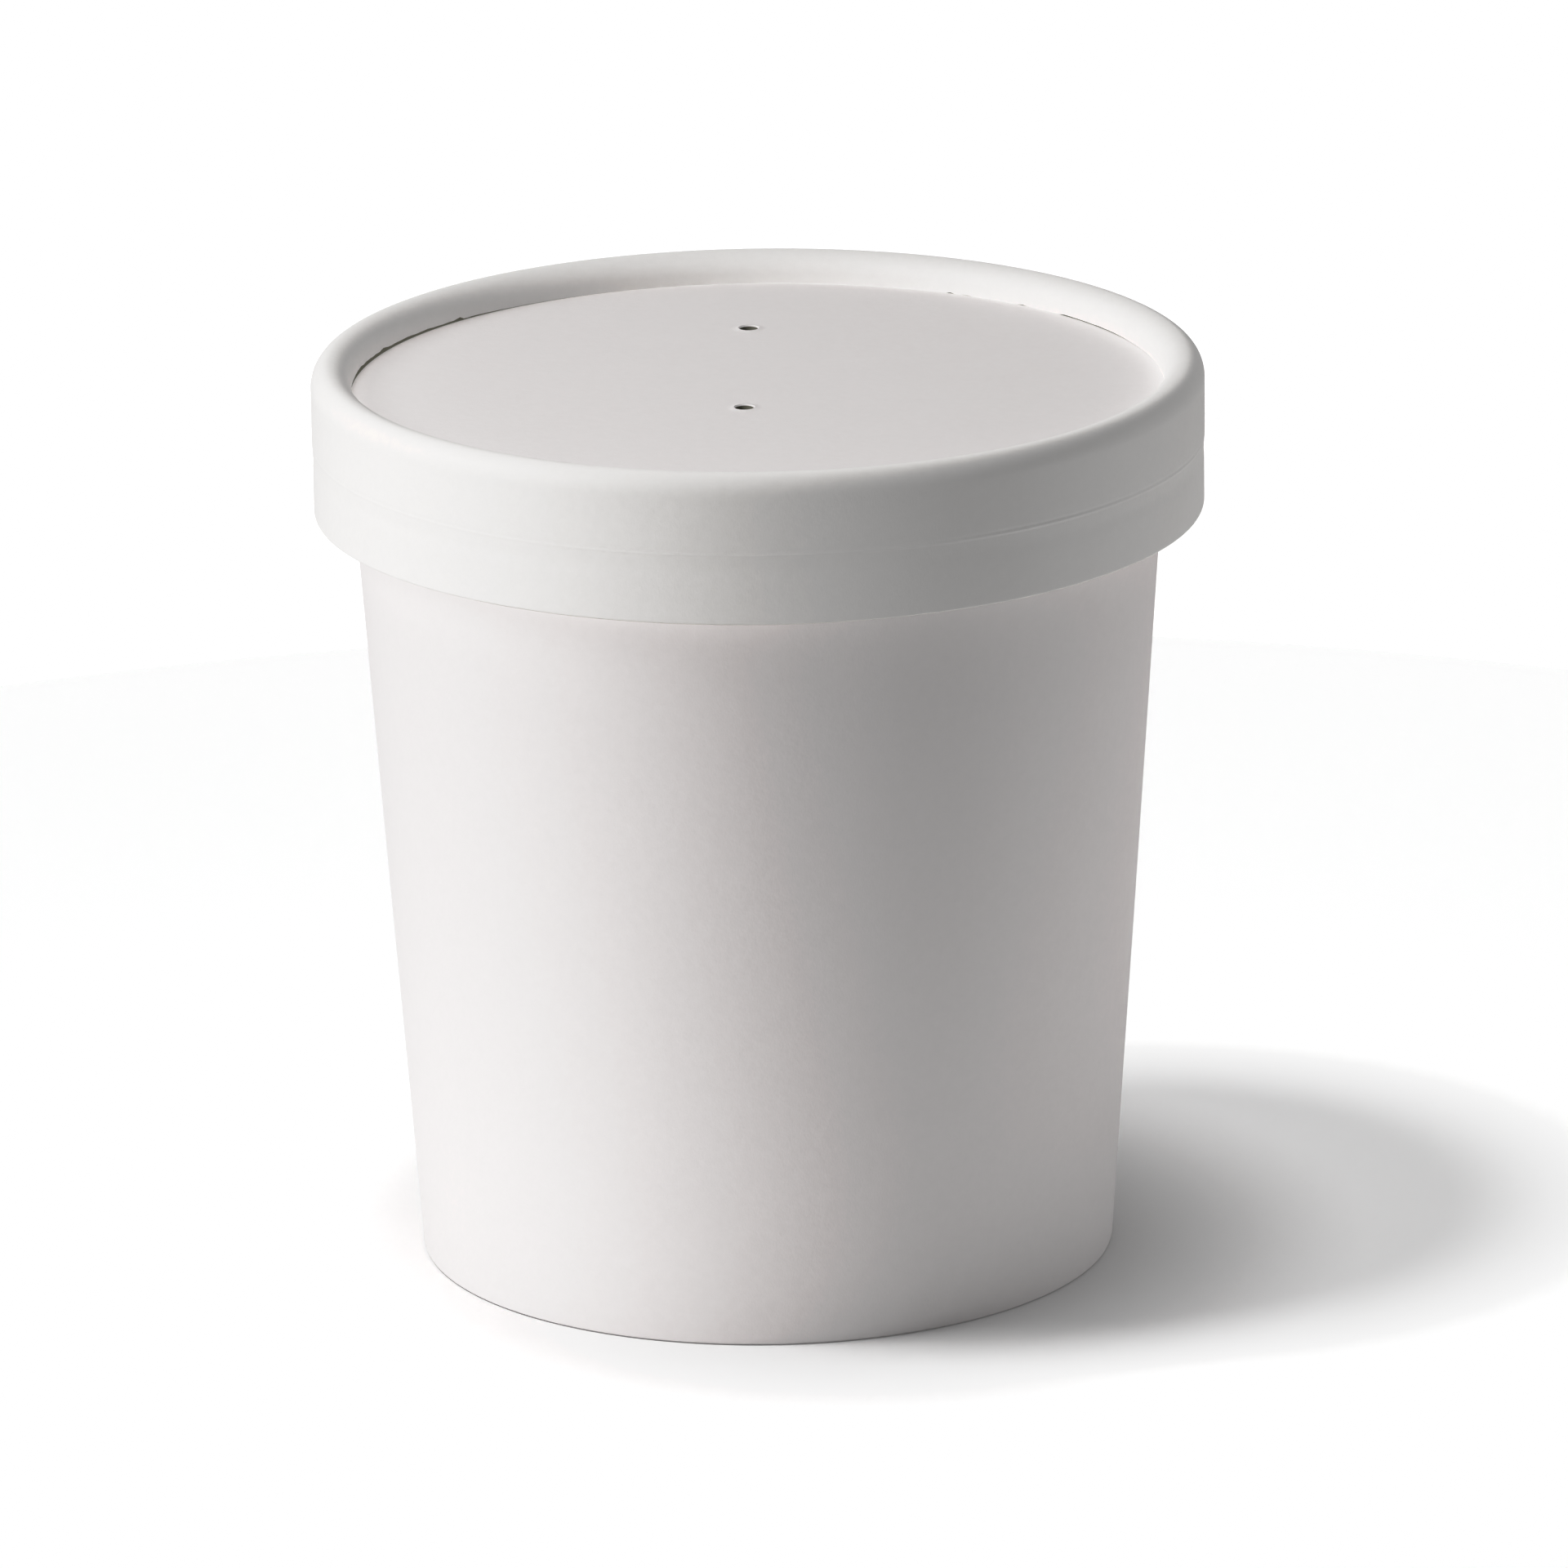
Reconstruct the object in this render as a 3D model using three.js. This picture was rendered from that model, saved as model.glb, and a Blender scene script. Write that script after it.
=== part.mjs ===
// Takeaway soup container: a tapered paper cup, shut with a vented paper lid.
// Millimetres, +Z up. The origin is the middle of the foot's underside, and the front faces -Y.
import * as THREE from "three";

// Driving dimensions
const TOTAL_HEIGHT = 105.3;
const LID_DIAMETER = 102;
const FOOT_DIAMETER = 80;
const WALL_TAPER = THREE.MathUtils.degToRad(4);
const BOARD = 0.4;
const GAP = 0.3;
const COLUMNS = 96;

// Lid: a skirt that ends in a fat rolled ring, and a disc that lies under the ring's lip
const LID_DEPTH = 17;
const RING_WIDTH = 4.6;
const RING_CREST_INSET = 2.3;
const RING_ROUNDING = 2.5;
const RECESS_DEPTH = 3.5;
const DISC_THICKNESS = 0.8;
const SKIRT_STEP = 0.3;
const SKIRT_THICKNESS = 2 * BOARD;
const STEP_BELOW_TOP = 8.7;
const DENT_BELOW_STEP = 2.3;
const DENT_DEPTH = 0.15;
const CUT_EDGE_ROUNDING = 0.15;

// Vents: two round holes through the disc, on a line that leans a little off the Y axis
const VENT_DIAMETER = 2.1;
const VENT_SPACING = 34.8;
const VENT_MIDDLE = new THREE.Vector2(-1.1, 8.5);
const VENT_LEAN = THREE.MathUtils.degToRad(1);

// Cup: the rolled rim under the lid, and the foot that stands round the base disc
const RIM_ROLL_RADIUS = 1.5;
const FILL_BELOW_RIM = 1;
const FOOT_DEPTH = 8;
const FOOT_THICKNESS = 3 * BOARD;
const FOOT_ROUNDING = 0.35;
const BASE_THICKNESS = 0.5;

// Lap seams: one board's edge lies on the other, at the back
const LAP_RISE = BOARD;
const CUP_LAP_AZIMUTH = THREE.MathUtils.degToRad(60);
const LID_LAP_AZIMUTH = THREE.MathUtils.degToRad(120);
const LAP_EDGE_WIDTH = 0.4;
const LAP_FADE_COLUMNS = 4;

// Heights and radii that follow from them
const LID_RADIUS = LID_DIAMETER / 2;
const FOOT_RADIUS = FOOT_DIAMETER / 2;
const SKIRT_BOTTOM = TOTAL_HEIGHT - LID_DEPTH;
const SKIRT_OUTER = LID_RADIUS - SKIRT_STEP;
const SKIRT_INNER = SKIRT_OUTER - SKIRT_THICKNESS;
const STEP_HEIGHT = TOTAL_HEIGHT - STEP_BELOW_TOP;
const DENT_HEIGHT = STEP_HEIGHT - DENT_BELOW_STEP;
const RING_INNER = LID_RADIUS - RING_WIDTH;
const DISC_TOP = TOTAL_HEIGHT - RECESS_DEPTH;
const DISC_BOTTOM = DISC_TOP - DISC_THICKNESS;
const DISC_RADIUS = SKIRT_INNER - GAP;
const CUP_HEIGHT = DISC_BOTTOM - GAP;

function wallRadius(height) {
  return FOOT_RADIUS + height * Math.tan(WALL_TAPER);
}

// Points of an arc of an ellipse, both ends included; angles are counted from +radius towards +Z
function arc(middle, halfWidth, halfHeight, fromDegrees, toDegrees, steps) {
  const points = [];
  for (let i = 0; i <= steps; i += 1) {
    const angle = THREE.MathUtils.degToRad(fromDegrees + ((toDegrees - fromDegrees) * i) / steps);
    const radius = middle.x + halfWidth * Math.cos(angle);
    const height = middle.y + halfHeight * Math.sin(angle);
    points.push(new THREE.Vector2(radius, height));
  }
  return points;
}

// Turns a profile of (radius, height) points round the Z axis
function revolve(profile) {
  return new THREE.LatheGeometry(profile, COLUMNS);
}

// Lifts the outer face beside a lap: up by one board at the cut edge, then fading along the wrap
function raiseLap(geometry, azimuth, isOuterFace) {
  const position = geometry.attributes.position;
  const columnAngle = (2 * Math.PI) / COLUMNS;
  for (let i = 0; i < position.count; i += 1) {
    const radius = Math.hypot(position.getX(i), position.getZ(i));
    const height = position.getY(i);
    const angle = Math.atan2(-position.getZ(i), position.getX(i));
    const column = Math.round((angle - azimuth) / columnAngle);
    if (column < 1 || column > LAP_FADE_COLUMNS || !isOuterFace(radius, height)) {
      continue;
    }
    const fade = 1 - (column - 1) / LAP_FADE_COLUMNS;
    const turned = column === 1 ? azimuth + LAP_EDGE_WIDTH / radius : angle;
    const lifted = radius + LAP_RISE * fade;
    position.setXYZ(i, lifted * Math.cos(turned), height, -lifted * Math.sin(turned));
  }
  geometry.computeVertexNormals();
  return geometry;
}

// The shut cup, solid inside: foot, tapered wall and rolled rim, up to the air under the lid
function cupBodyGeometry() {
  const footInner = FOOT_RADIUS - FOOT_THICKNESS;
  const fillBottom = FOOT_DEPTH + BASE_THICKNESS + GAP;
  const rollHeight = CUP_HEIGHT - RIM_ROLL_RADIUS;
  const rollMiddle = new THREE.Vector2(wallRadius(rollHeight) + RIM_ROLL_RADIUS - BOARD, rollHeight);
  const footOuterCorner = new THREE.Vector2(wallRadius(FOOT_ROUNDING) - FOOT_ROUNDING, FOOT_ROUNDING);
  const footInnerCorner = new THREE.Vector2(footInner + FOOT_ROUNDING, FOOT_ROUNDING);
  const profile = [
    new THREE.Vector2(0, fillBottom),
    new THREE.Vector2(footInner, fillBottom),
    ...arc(footInnerCorner, FOOT_ROUNDING, FOOT_ROUNDING, 180, 270, 3),
    ...arc(footOuterCorner, FOOT_ROUNDING, FOOT_ROUNDING, 270, 360, 3),
    new THREE.Vector2(wallRadius(SKIRT_BOTTOM), SKIRT_BOTTOM),
    ...arc(rollMiddle, RIM_ROLL_RADIUS, RIM_ROLL_RADIUS, -125, 150, 14),
    new THREE.Vector2(rollMiddle.x - RIM_ROLL_RADIUS, CUP_HEIGHT - FILL_BELOW_RIM),
    new THREE.Vector2(0, CUP_HEIGHT - FILL_BELOW_RIM),
  ];
  const isWall = (radius, height) => height < SKIRT_BOTTOM + GAP && radius > wallRadius(height) - GAP;
  return raiseLap(revolve(profile), CUP_LAP_AZIMUTH, isWall);
}

// The base disc, pressed up inside the foot
function cupBaseGeometry() {
  const radius = FOOT_RADIUS - FOOT_THICKNESS - GAP;
  const profile = [
    new THREE.Vector2(0, FOOT_DEPTH),
    new THREE.Vector2(radius, FOOT_DEPTH),
    new THREE.Vector2(radius, FOOT_DEPTH + BASE_THICKNESS),
    new THREE.Vector2(0, FOOT_DEPTH + BASE_THICKNESS),
  ];
  return revolve(profile);
}

// The skirt and the ring rolled from its top edge, which hangs over the disc by a lip
function lidBandGeometry() {
  const lipHeight = DISC_TOP + GAP;
  const ringMiddle = new THREE.Vector2(LID_RADIUS - RING_CREST_INSET, TOTAL_HEIGHT - RING_ROUNDING);
  const innerHalf = RING_WIDTH - RING_CREST_INSET;
  const cutEdge = new THREE.Vector2(SKIRT_OUTER - CUT_EDGE_ROUNDING, SKIRT_BOTTOM + CUT_EDGE_ROUNDING);
  const profile = [
    new THREE.Vector2(SKIRT_INNER, SKIRT_BOTTOM),
    ...arc(cutEdge, CUT_EDGE_ROUNDING, CUT_EDGE_ROUNDING, 270, 360, 2),
    new THREE.Vector2(SKIRT_OUTER, DENT_HEIGHT - DENT_BELOW_STEP / 2),
    new THREE.Vector2(SKIRT_OUTER - DENT_DEPTH, DENT_HEIGHT),
    new THREE.Vector2(SKIRT_OUTER - DENT_DEPTH / 2, STEP_HEIGHT - SKIRT_STEP),
    new THREE.Vector2(LID_RADIUS, STEP_HEIGHT),
    ...arc(ringMiddle, RING_CREST_INSET, RING_ROUNDING, 0, 90, 8),
    ...arc(ringMiddle, innerHalf, RING_ROUNDING, 90, 180, 8).slice(1),
    new THREE.Vector2(RING_INNER, lipHeight),
    new THREE.Vector2(SKIRT_INNER, lipHeight),
    new THREE.Vector2(SKIRT_INNER, SKIRT_BOTTOM),
  ];
  const ringStart = TOTAL_HEIGHT - RING_ROUNDING;
  const isSkirt = (radius, height) => height < ringStart + GAP && radius > SKIRT_OUTER - GAP;
  return raiseLap(revolve(profile), LID_LAP_AZIMUTH, isSkirt);
}

// The flat disc with its two vents
function lidDiscGeometry() {
  const outline = new THREE.Shape();
  outline.absarc(0, 0, DISC_RADIUS, 0, 2 * Math.PI, false);
  const alongVents = new THREE.Vector2(Math.sin(VENT_LEAN), Math.cos(VENT_LEAN));
  for (const reach of [-VENT_SPACING / 2, VENT_SPACING / 2]) {
    const vent = new THREE.Path();
    const middle = VENT_MIDDLE.clone().addScaledVector(alongVents, reach);
    vent.absarc(middle.x, middle.y, VENT_DIAMETER / 2, 0, 2 * Math.PI, true);
    outline.holes.push(vent);
  }
  const options = { depth: DISC_THICKNESS, bevelEnabled: false, curveSegments: COLUMNS / 2 };
  return new THREE.ExtrudeGeometry(outline, options);
}

function paperMesh(name, geometry, colour, roughness) {
  const material = new THREE.MeshStandardMaterial({ color: colour, roughness, metalness: 0 });
  const mesh = new THREE.Mesh(geometry, material);
  mesh.name = name;
  return mesh;
}

// Stands a shape that was turned round Y upright on Z
function upright(mesh) {
  mesh.rotation.x = Math.PI / 2;
  return mesh;
}

const container = new THREE.Group();
container.add(upright(paperMesh("cup_body", cupBodyGeometry(), "#edeae8", 0.8)));
container.add(upright(paperMesh("cup_base", cupBaseGeometry(), "#e9e6e3", 0.85)));
container.add(upright(paperMesh("lid_band", lidBandGeometry(), "#eceeed", 0.75)));
const disc = paperMesh("lid_disc", lidDiscGeometry(), "#e6e3e2", 0.8);
disc.position.z = DISC_BOTTOM;
container.add(disc);

export default container;
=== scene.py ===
"""Takeaway soup container: a tapered white paper cup, shut with a vented paper lid.

The cup stands on a hollow foot with a pressed-in base disc. The lid is a band, rolled over into a
fat ring at the top, round a sunken disc with two punched vents. Everything is in metres, in the
frame's own axes: +Z up along the cup, -Y towards the camera.
"""

import logging
import math
from dataclasses import dataclass, field
from enum import Enum
from math import radians
from typing import Any, Callable, ClassVar, Iterable, Self

import bmesh
import bpy
from mathutils import Matrix, Vector, noise


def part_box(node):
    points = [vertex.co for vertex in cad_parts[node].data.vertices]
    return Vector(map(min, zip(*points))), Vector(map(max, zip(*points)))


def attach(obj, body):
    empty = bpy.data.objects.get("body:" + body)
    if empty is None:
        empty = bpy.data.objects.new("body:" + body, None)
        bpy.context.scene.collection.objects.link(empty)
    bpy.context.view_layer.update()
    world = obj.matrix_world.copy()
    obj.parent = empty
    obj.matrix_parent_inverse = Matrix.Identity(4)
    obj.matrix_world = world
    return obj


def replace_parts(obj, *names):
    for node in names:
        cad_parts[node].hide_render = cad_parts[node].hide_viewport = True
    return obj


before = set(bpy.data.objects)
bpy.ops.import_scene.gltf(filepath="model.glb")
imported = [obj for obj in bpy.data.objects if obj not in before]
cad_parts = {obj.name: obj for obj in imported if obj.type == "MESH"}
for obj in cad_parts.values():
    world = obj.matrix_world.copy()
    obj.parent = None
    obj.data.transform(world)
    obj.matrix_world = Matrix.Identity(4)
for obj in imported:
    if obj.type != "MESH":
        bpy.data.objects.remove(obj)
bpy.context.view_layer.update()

LOG = logging.getLogger("soup_container")
BODY = "root"
MM = 0.001
FULL_TURN = 2 * math.pi
COLUMNS = 384
RING_COLUMNS = 480
SAME_POINT = 1e-7
SHARP_EDGE = radians(40)

# Faces are sorted by paper with this slack at a border, and look down where their normal's z is lower
FACE_MARGIN = 0.04 * MM
FACES_DOWN = -0.5

# A point in cylinder coordinates is its azimuth, radius and height
CylinderPoint = tuple[float, float, float]
ShapingRule = Callable[[float, float, float], CylinderPoint]


def ramp(value: float, start: float, stop: float) -> float:
    """Rise smoothly from 0 to 1 between two values.

    Args:
        value: The place along the ramp.
        start: Where the ramp is still 0.
        stop: Where it has reached 1; it may be less than start.

    Returns:
        A number from 0 to 1.
    """
    share = min(max((value - start) / (stop - start), 0.0), 1.0)
    return share * share * (3 - 2 * share)


def bell(value: float, middle: float, width: float) -> float:
    """Give a smooth bump that is 1 at its middle and fades out within a few widths."""
    return math.exp(-(((value - middle) / width) ** 2))


def angle_between(first: float, second: float) -> float:
    """Give the shortest turn from the second azimuth to the first, from -pi to pi."""
    return (first - second + math.pi) % FULL_TURN - math.pi


# Sizes that the sub-assemblies share


@dataclass(frozen=True)
class ContainerSizes:
    """Outer sizes of the container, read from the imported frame."""

    lid_radius: float
    top: float
    skirt_bottom: float
    disc_top: float
    disc_bottom: float
    disc_radius: float
    rim_radius: float
    rim_top: float
    base_bottom: float
    base_top: float
    base_radius: float
    gap: float = 0.3 * MM
    board: float = 0.4 * MM
    taper: float = radians(4)

    @classmethod
    def from_frame(cls) -> Self:
        """Read the boxes of the frame's four nodes.

        Returns:
            The sizes, in metres.
        """
        cup_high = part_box("cup_body")[1]
        base_low, base_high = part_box("cup_base")
        band_low, band_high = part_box("lid_band")
        disc_low, disc_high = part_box("lid_disc")
        return cls(
            lid_radius=band_high.x,
            top=band_high.z,
            skirt_bottom=band_low.z,
            disc_top=disc_high.z,
            disc_bottom=disc_low.z,
            disc_radius=disc_high.x,
            rim_radius=cup_high.x,
            rim_top=cup_high.z,
            base_bottom=base_low.z,
            base_top=base_high.z,
            base_radius=base_high.x,
        )

    @property
    def foot_thickness(self) -> float:
        """Three plies of board: the wall, the base disc's flange and the fold."""
        return 3 * self.board

    @property
    def foot_radius(self) -> float:
        """Radius of the wall where it meets the ground."""
        return self.base_radius + self.gap + self.foot_thickness

    def wall_radius(self, height: float) -> float:
        """Give the radius of the tapered wall's outer face at a height."""
        return self.foot_radius + height * math.tan(self.taper)


# Outlines and meshes


@dataclass
class Outline:
    """A run of (radius, height) points that is turned round an upright axis."""

    points: list[Vector] = field(default_factory=list)

    def to(self, radius: float, height: float, steps: int = 1) -> Self:
        """Draw a straight line to a point.

        Args:
            radius: The point's distance from the axis.
            height: The point's height.
            steps: How many equal pieces the line is cut into.

        Returns:
            The outline, so that calls can follow on.
        """
        end = Vector((radius, 0.0, height))
        if not self.points:
            self.points.append(end)
            return self
        start = self.points[-1].copy()
        for step in range(1, steps + 1):
            self.points.append(start.lerp(end, step / steps))
        return self

    def arc(self, middle: tuple[float, float], half: tuple[float, float], turn: tuple[float, float],
            steps: int) -> Self:
        """Draw an arc of an upright ellipse.

        Args:
            middle: Radius and height of the ellipse's middle.
            half: Its half width and half height.
            turn: Start and stop angles in degrees, from outwards towards up.
            steps: How many pieces the arc is cut into.

        Returns:
            The outline, so that calls can follow on.
        """
        for step in range(steps + 1):
            angle = radians(turn[0] + (turn[1] - turn[0]) * step / steps)
            radius = middle[0] + half[0] * math.cos(angle)
            height = middle[1] + half[1] * math.sin(angle)
            self.points.append(Vector((radius, 0.0, height)))
        return self

    def turn_into(self, mesh: bmesh.types.BMesh, columns: int, closed: bool = False,
                  axis: Vector = Vector()) -> None:
        """Turn the outline a full turn and add the surface to a mesh.

        An eighth is spun and then doubled three times, because one long spin takes far longer.

        Args:
            mesh: The mesh that gets the surface.
            columns: How many steps the full turn takes, a multiple of 8.
            closed: Whether the last point joins the first.
            axis: A point of the upright axis.
        """
        part = bmesh.new()
        verts = [part.verts.new(point) for point in self.points]
        pairs = list(zip(verts, verts[1:]))
        if closed:
            pairs.append((verts[-1], verts[0]))
        edges = [part.edges.new(pair) for pair in pairs]
        eighth = FULL_TURN / 8
        bmesh.ops.spin(part, geom=verts + edges, cent=(0, 0, 0), axis=(0, 0, 1), dvec=(0, 0, 0),
                       angle=eighth, steps=columns // 8, use_merge=False, use_duplicate=False)
        for doubling in range(3):
            everything = part.verts[:] + part.edges[:] + part.faces[:]
            copy = bmesh.ops.duplicate(part, geom=everything)["geom"]
            copied = [item for item in copy if isinstance(item, bmesh.types.BMVert)]
            turn = Matrix.Rotation(eighth * 2 ** doubling, 3, "Z")
            bmesh.ops.rotate(part, cent=(0, 0, 0), matrix=turn, verts=copied)
        bmesh.ops.remove_doubles(part, verts=part.verts, dist=SAME_POINT)
        bmesh.ops.translate(part, vec=axis, verts=part.verts)
        data = bpy.data.meshes.new("turned")
        part.to_mesh(data)
        part.free()
        mesh.from_mesh(data)
        bpy.data.meshes.remove(data)


def weld(mesh: bmesh.types.BMesh) -> None:
    """Merge doubled points and turn every face outwards."""
    bmesh.ops.remove_doubles(mesh, verts=mesh.verts, dist=SAME_POINT)
    bmesh.ops.recalc_face_normals(mesh, faces=mesh.faces)


def shape_radially(mesh: bmesh.types.BMesh, rule: ShapingRule) -> None:
    """Move every point by a rule in cylinder coordinates.

    Args:
        mesh: The mesh to shape.
        rule: Takes azimuth, radius and height, and gives them back changed.
    """
    for vert in mesh.verts:
        radius = math.hypot(vert.co.x, vert.co.y)
        if radius < SAME_POINT:
            continue
        azimuth, radius, height = rule(math.atan2(vert.co.y, vert.co.x), radius, vert.co.z)
        vert.co = Vector((radius * math.cos(azimuth), radius * math.sin(azimuth), height))


@dataclass(frozen=True)
class LapSeam:
    """A glued lap: the outer board's cut edge stands proud, and its rise fades along the wrap."""

    azimuth: float
    rise: float
    columns: int = COLUMNS
    edge_width: float = 0.12 * MM
    fade_angle: float = radians(16)

    def raise_face(self, azimuth: float, radius: float) -> tuple[float, float]:
        """Lift a point of the outer face beside the seam.

        Args:
            azimuth: The point's azimuth.
            radius: The point's radius.

        Returns:
            Its new azimuth and radius.
        """
        beyond = angle_between(azimuth, self.azimuth)
        column = FULL_TURN / self.columns
        if beyond < column / 2 or beyond > self.fade_angle:
            return azimuth, radius
        lifted = radius + self.rise * (1 - ramp(beyond, column, self.fade_angle))
        if beyond < column * 3 / 2:
            return self.azimuth + self.edge_width / radius, lifted
        return azimuth, lifted


def unevenness(azimuth: float, waves: float, seed: float, height: float = 0.0,
               rows_per_metre: float = 0.0) -> float:
    """Give a smooth, seamless noise over an upright cylinder.

    Args:
        azimuth: Place round the cylinder.
        waves: How fast the noise changes round the turn.
        seed: Which of the noise's many patterns it is.
        height: Place up the cylinder, in metres.
        rows_per_metre: How fast the noise changes with height.

    Returns:
        A number from about -1 to 1.
    """
    row = rows_per_metre * height + seed
    return noise.noise(Vector((waves * math.cos(azimuth), waves * math.sin(azimuth), row)))


def make_piece(name: str, mesh: bmesh.types.BMesh,
               finishes: Iterable[bpy.types.Material]) -> bpy.types.Object:
    """Turn a finished mesh into a smooth-shaded object that rides on the container.

    Args:
        name: The piece's name.
        mesh: Its mesh, which is freed.
        finishes: Its materials, in the order of the faces' material numbers.

    Returns:
        The new object.
    """
    data = bpy.data.meshes.new(name)
    mesh.to_mesh(data)
    mesh.free()
    for finish in finishes:
        data.materials.append(finish)
    piece = bpy.data.objects.new(name, data)
    bpy.context.scene.collection.objects.link(piece)
    data.shade_smooth()
    data.set_sharp_from_angle(angle=SHARP_EDGE)
    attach(piece, BODY)
    LOG.info("%s: %d faces", name, len(data.polygons))
    return piece


# Finishes


class Maths:
    """A number in a shader, which takes part in Python arithmetic."""

    def __init__(self, sheet: "ShaderSheet", socket: bpy.types.NodeSocket) -> None:
        """Hold a socket and the sheet that its nodes go on."""
        self.sheet = sheet
        self.socket = socket

    def _with(self, operation: str, *terms: "Maths | float") -> "Maths":
        """Add a Math node.

        Args:
            operation: The node's operation.
            terms: Its inputs in order.

        Returns:
            The node's result.
        """
        node = self.sheet.node("ShaderNodeMath", {"operation": operation}, dict(enumerate(terms)))
        return Maths(self.sheet, node.outputs[0])

    def __add__(self, other: "Maths | float") -> "Maths":
        """Give self + other."""
        return self._with("ADD", self, other)

    def __radd__(self, other: float) -> "Maths":
        """Give other + self."""
        return self._with("ADD", other, self)

    def __sub__(self, other: "Maths | float") -> "Maths":
        """Give self - other."""
        return self._with("SUBTRACT", self, other)

    def __rsub__(self, other: float) -> "Maths":
        """Give other - self."""
        return self._with("SUBTRACT", other, self)

    def __mul__(self, other: "Maths | float") -> "Maths":
        """Give self * other."""
        return self._with("MULTIPLY", self, other)

    def __rmul__(self, other: float) -> "Maths":
        """Give other * self."""
        return self._with("MULTIPLY", other, self)


Input = Maths | float | tuple[float, ...] | bpy.types.NodeSocket


class ShaderSheet:
    """A material and the few calls that its nodes are made with."""

    MIX_FACTOR, MIX_COLOUR_A, MIX_COLOUR_B, MIX_COLOUR_RESULT = 0, 6, 7, 2

    def __init__(self, name: str) -> None:
        """Start an empty material.

        Args:
            name: The material's name.
        """
        self.material = bpy.data.materials.new(name)
        self.material.use_nodes = True
        self.tree = self.material.node_tree
        self.tree.nodes.clear()

    def node(self, kind: str, settings: dict[str, Any], inputs: dict[int | str, Input]) -> bpy.types.Node:
        """Add a node.

        Args:
            kind: The node's type.
            settings: Its own properties, set before its sockets.
            inputs: Values or links for its sockets, by name or number.

        Returns:
            The node.
        """
        node = self.tree.nodes.new(kind)
        for key, value in settings.items():
            setattr(node, key, value)
        for key, value in inputs.items():
            if isinstance(value, Maths):
                value = value.socket
            if isinstance(value, bpy.types.NodeSocket):
                self.tree.links.new(value, node.inputs[key])
            else:
                node.inputs[key].default_value = value
        return node

    def place(self) -> bpy.types.NodeSocket:
        """Give the object coordinates, in metres."""
        return self.node("ShaderNodeTexCoord", {}, {}).outputs["Object"]

    def stretched(self, scale: tuple[float, float, float]) -> bpy.types.NodeSocket:
        """Give the object coordinates scaled along each axis."""
        node = self.node("ShaderNodeVectorMath", {"operation": "MULTIPLY"}, {0: self.place(), 1: scale})
        return node.outputs["Vector"]

    def grain(self, features_per_metre: float, detail: float,
              vector: bpy.types.NodeSocket | None = None) -> Maths:
        """Give a cloudy noise centred on 0.

        Args:
            features_per_metre: How fine it is.
            detail: How many finer layers lie on it.
            vector: Where it is read, if not at the object coordinates.

        Returns:
            A number from about -0.5 to 0.5.
        """
        inputs = {"Vector": vector or self.place(), "Scale": features_per_metre, "Detail": detail}
        node = self.node("ShaderNodeTexNoise", {"noise_dimensions": "3D"}, inputs)
        return Maths(self, node.outputs["Fac"]) - 0.5

    def between(self, share: Maths, first: tuple[float, ...],
                second: tuple[float, ...]) -> bpy.types.NodeSocket:
        """Mix two colours.

        Args:
            share: 0 for the first colour, 1 for the second.
            first: A linear colour.
            second: Another one.

        Returns:
            The mixed colour.
        """
        inputs = {self.MIX_FACTOR: share, self.MIX_COLOUR_A: first, self.MIX_COLOUR_B: second}
        node = self.node("ShaderNodeMix", {"data_type": "RGBA", "clamp_factor": True}, inputs)
        return node.outputs[self.MIX_COLOUR_RESULT]

    def finish(self, inputs: dict[str, Input]) -> bpy.types.Material:
        """Close the sheet with the surface shader.

        Args:
            inputs: The shader's sockets.

        Returns:
            The finished material.
        """
        shader = self.node("ShaderNodeBsdfPrincipled", {}, inputs)
        self.node("ShaderNodeOutputMaterial", {}, {"Surface": shader.outputs["BSDF"]})
        return self.material


class Paper(Enum):
    """Which of the container's papers a finish is for; the value is its material's name."""

    CUP = "cup_paper"
    BASE = "base_paper"
    LID = "lid_paper"
    DISC = "disc_paper"
    CUT_EDGE = "cut_edge"
    # Painted shade: a dark paper for the ring's hollow, the disc's margin under the lip and the vents'
    # walls
    HOLLOW = "hollow_paper"
    INSIDE = "inside_coating"


@dataclass(frozen=True)
class PaperFinish:
    """Matte board with a soft mottle, short fibres and a faint felt texture."""

    paper: Paper
    colour: tuple[float, float, float]
    mottle: float = 0.03
    roughness: float = 0.78
    fibre_height: float = 0.012 * MM
    felt_height: float = 0.03 * MM
    fibres_per_metre: float = 5200
    felt_per_metre: float = 900
    clouds_per_metre: float = 140
    fibre_squeeze: float = 0.55
    fibre_tone: float = 1.0
    felt_tone: float = 1.1
    cloud_tone: float = 0.5
    fibre_roughness: float = 0.12
    refraction: float = 1.45
    specular: float = 0.35

    def build(self) -> bpy.types.Material:
        """Make the material.

        Returns:
            The material, named after its paper.
        """
        sheet = ShaderSheet(self.paper.value)
        upright = sheet.stretched((1.0, 1.0, self.fibre_squeeze))
        fibres = sheet.grain(self.fibres_per_metre, detail=3, vector=upright)
        felt = sheet.grain(self.felt_per_metre, detail=2)
        clouds = sheet.grain(self.clouds_per_metre, detail=3)
        tone = 0.5 + clouds * self.cloud_tone + felt * self.felt_tone + fibres * self.fibre_tone
        dark = tuple(channel * (1 - self.mottle) for channel in self.colour)
        light = tuple(min(channel * (1 + self.mottle), 1.0) for channel in self.colour)
        colour = sheet.between(tone, (*dark, 1.0), (*light, 1.0))
        relief = fibres * self.fibre_height + felt * self.felt_height
        bump = sheet.node("ShaderNodeBump", {}, {"Strength": 1.0, "Distance": 1.0, "Height": relief})
        return sheet.finish({
            "Base Color": colour,
            "Roughness": self.roughness + fibres * self.fibre_roughness,
            "Normal": bump.outputs["Normal"],
            "IOR": self.refraction,
            "Specular IOR Level": self.specular,
        })


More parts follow.
